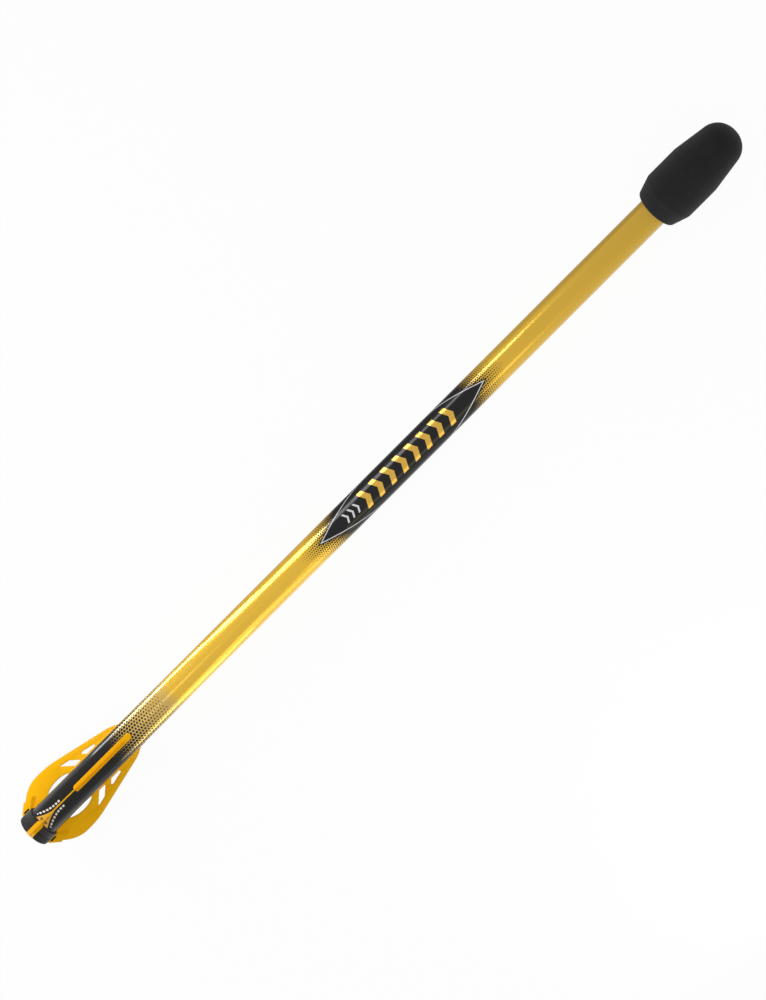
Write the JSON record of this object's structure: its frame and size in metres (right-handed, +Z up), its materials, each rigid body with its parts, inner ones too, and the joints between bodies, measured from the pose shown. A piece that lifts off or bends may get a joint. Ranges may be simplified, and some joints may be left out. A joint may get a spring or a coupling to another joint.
{
  "type": "training javelin",
  "caption": "Soft-headed training javelin: round tube with a blunt foam head, keyed tail fins and a two-ring tail collar.",
  "frame": {"origin": "centre of the flat tail face, on the shaft's axis", "axes": "+X along the shaft from the tail to the foam head, +Z up, with one fin straight up"},
  "size_m": [0.9976, 0.0708, 0.0681],
  "materials": {
    "gold_tube": "gloss",
    "black_foam": "matte",
    "black_plastic": "satin",
    "grey_plastic": "satin",
    "bright_steel": "satin",
    "orange_plastic": "satin"
  },
  "bodies": {
    "root": {"shaft_tube": "gold_tube", "foam_head": "black_foam", "head_socket": "black_plastic", "front_plug": "grey_plastic", "nose_weight": "bright_steel", "tail_core": "black_plastic", "fin_lock_ring": "black_plastic", "tail_cap": "black_plastic", "fin_1": "orange_plastic", "fin_2": "orange_plastic", "fin_3": "orange_plastic"}
  },
  "joints": []
}
